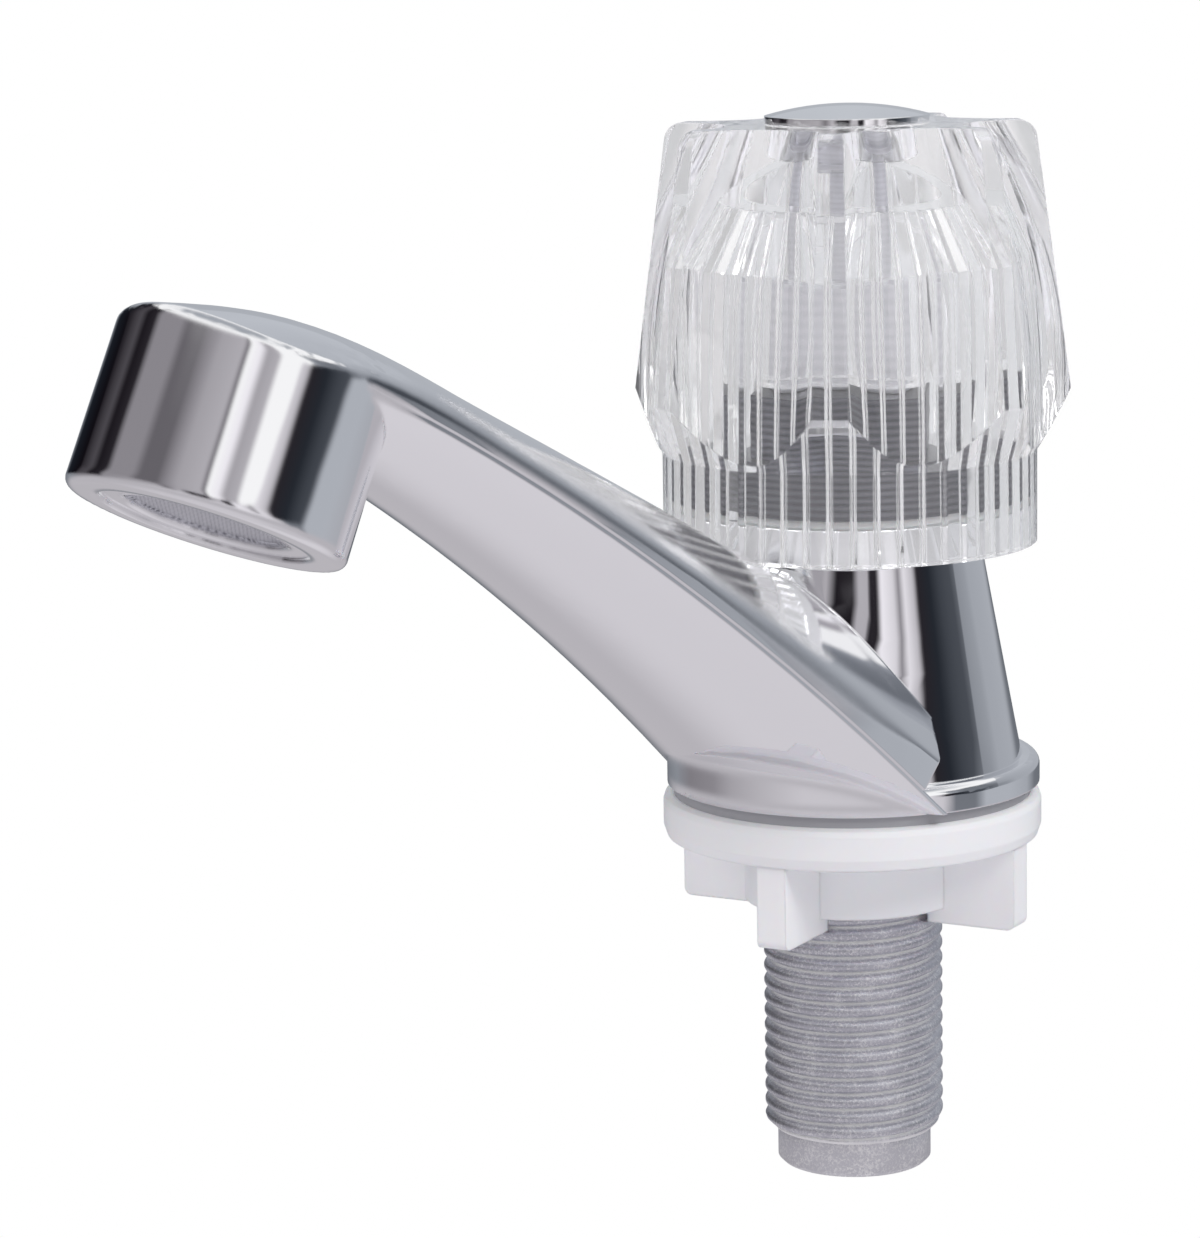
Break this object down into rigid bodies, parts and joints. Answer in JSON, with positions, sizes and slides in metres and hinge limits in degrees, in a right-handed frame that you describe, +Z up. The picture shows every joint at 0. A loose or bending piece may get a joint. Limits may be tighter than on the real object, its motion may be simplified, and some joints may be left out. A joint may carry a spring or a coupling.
{
  "type": "basin tap",
  "caption": "Single pillar basin tap with a sculpted cast spout, a clear fluted handle on a screw-down valve, a threaded tail and a plastic wing nut.",
  "frame": {"origin": "centre of the base's underside, where it stands on the basin, on the valve axis", "axes": "+Z up along the valve axis, spout reaching out along -Y, +X to the side"},
  "size_m": [0.0497, 0.1355, 0.124],
  "materials": {
    "chrome": "mirror-polished plating on the cast body",
    "cast_zinc": "dull bare casting, lightly sparkling",
    "machined_brass": "machined, with fine turning lines",
    "plated_spindle": "satin plated, light",
    "clear_acrylic": "clear, moulded, polished",
    "chromed_plastic": "bright plating on a moulded cap",
    "black_rubber": "smooth",
    "grey_rubber": "smooth, mid grey",
    "white_fibre": "pale and flat",
    "white_nylon": "moulded, soft sheen",
    "steel_screw": "plated steel",
    "steel_mesh": "woven stainless mesh",
    "aerator_plastic": "moulded, pale grey"
  },
  "bodies": {
    "body": {"tap_body": "chrome", "shank": "cast_zinc", "shank_ring": "black_rubber", "valve_bonnet": "machined_brass", "bonnet_gasket": "white_fibre", "thrust_washer": "white_fibre", "aerator_housing": "chrome", "aerator_screen": "steel_mesh", "aerator_insert": "aerator_plastic", "aerator_gasket": "black_rubber"},
    "turning": {"handle": "clear_acrylic", "handle_cap": "chromed_plastic", "handle_screw": "steel_screw", "screw_washer": "steel_screw", "spindle": "plated_spindle", "spindle_rings": "black_rubber", "spindle_circlip": "steel_screw"},
    "plug": {"valve_plug": "machined_brass", "seat_washer": "black_rubber", "seat_screw": "steel_screw"},
    "washer": {"base_washer": "grey_rubber"},
    "nut": {"mounting_nut": "white_nylon"}
  },
  "joints": [
    {"name": "handle_turn", "type": "hinge", "parent": "body", "child": "turning", "pos_m": [0, 0, 0], "axis": [0, 0, 1], "range_deg": [0, 540]},
    {"name": "plug_lift", "type": "slide", "parent": "body", "child": "plug", "axis": [0, 0, 1], "range_m": [0, 0.00406]},
    {"name": "nut_travel", "type": "slide", "parent": "body", "child": "washer", "axis": [0, 0, 1], "range_m": [-0.027, 0]},
    {"name": "nut_turn", "type": "hinge", "parent": "washer", "child": "nut", "pos_m": [0, 0, 0], "axis": [0, 0, 1], "range_deg": [-5360, 0]}
  ],
  "couplings": [
    {"joint": "plug_lift", "follows": "handle_turn", "m_per_rad": 0.00042972},
    {"joint": "nut_turn", "follows": "nut_travel", "rad_per_m": 3463.7}
  ]
}
